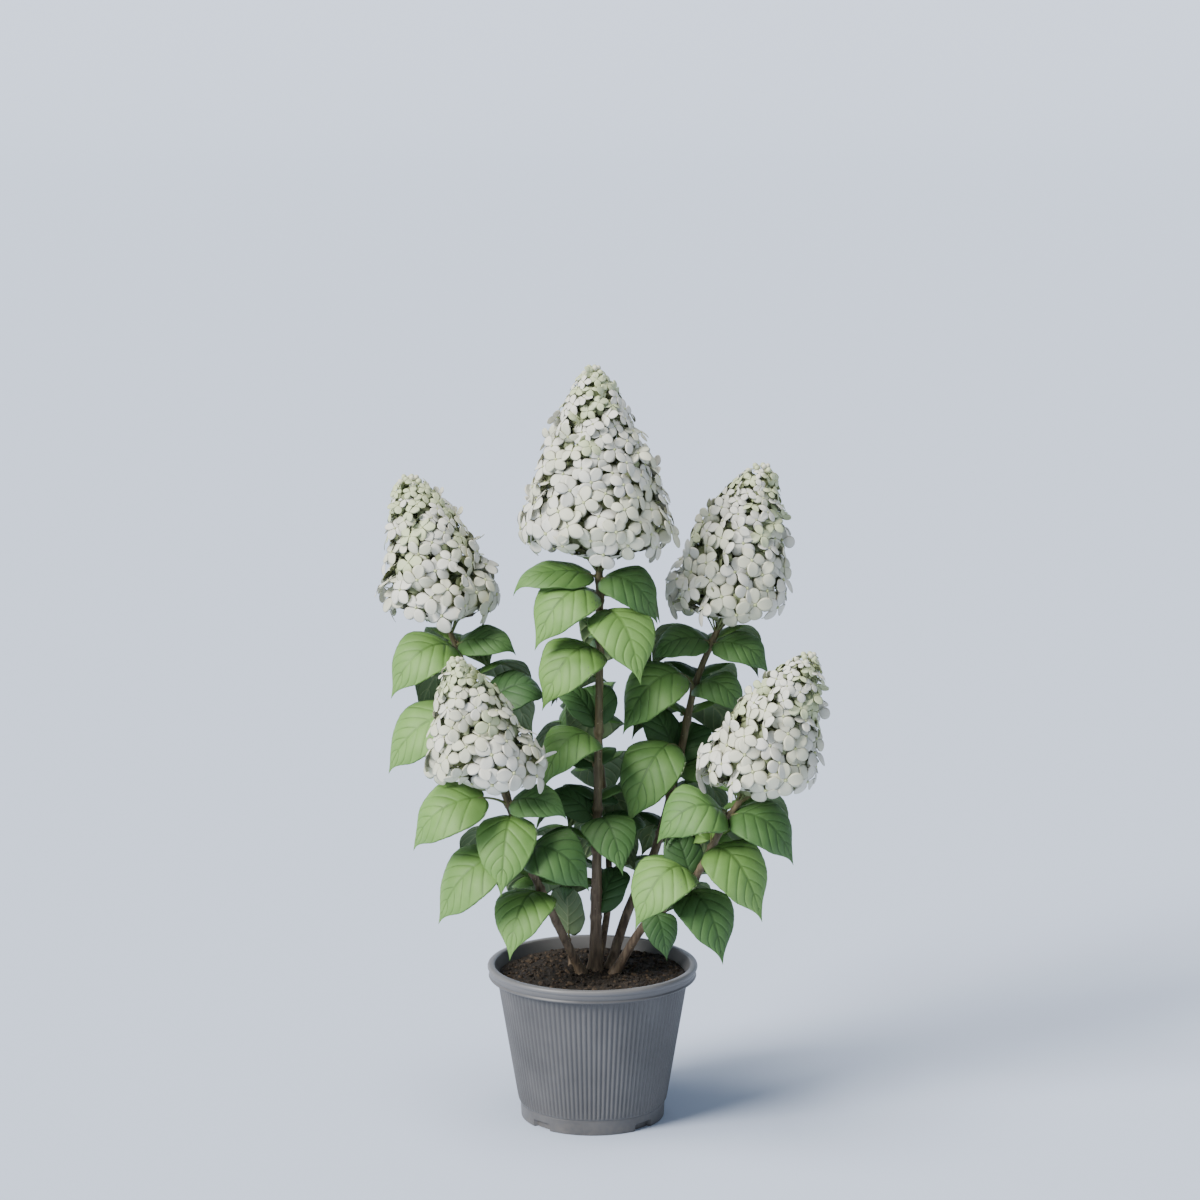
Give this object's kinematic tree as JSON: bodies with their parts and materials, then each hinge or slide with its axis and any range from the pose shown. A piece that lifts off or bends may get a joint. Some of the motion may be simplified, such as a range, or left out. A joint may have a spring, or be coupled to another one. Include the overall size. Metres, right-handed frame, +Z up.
{
  "type": "potted panicle hydrangea",
  "caption": "Flowering panicle hydrangea shrub with upright canes, arching leaves and cone-shaped blooms, standing in a ribbed plastic nursery pot.",
  "frame": {"origin": "middle of the pot's flat underside, on the surface it stands on", "axes": "+Z up through the pot and the plant, -Y towards the front from which the plant is seen, +X to the viewer's right"},
  "size_m": [0.5328, 0.3779, 0.9324],
  "materials": {
    "pot_plastic": "moulded, fine upright ribs, slightly worn satin",
    "compost": "dark, moist and crumbly",
    "bark": "brown young bark with small breathing pores",
    "foliage": "matt green leaf, veins pressed in above",
    "petals": "creamy white sterile florets"
  },
  "bodies": {
    "root": {"pot": "pot_plastic", "compost": "compost", "cane_center": "bark", "cane_left": "bark", "cane_upper_right": "bark", "cane_lower_right": "bark", "cane_back": "bark", "bough_upper_left": "bark", "shoot_center_low": "foliage", "shoot_center_high": "foliage", "shoot_left_low": "foliage", "shoot_lower_left": "foliage", "shoot_upper_left": "foliage", "shoot_upper_right_low": "foliage", "shoot_upper_right_high": "foliage", "shoot_lower_right": "foliage", "shoot_back": "foliage", "shoot_sprout": "foliage", "bloom_center": "petals", "bloom_upper_left": "petals", "bloom_upper_right": "petals", "bloom_left": "petals", "bloom_lower_right": "petals"}
  },
  "joints": []
}
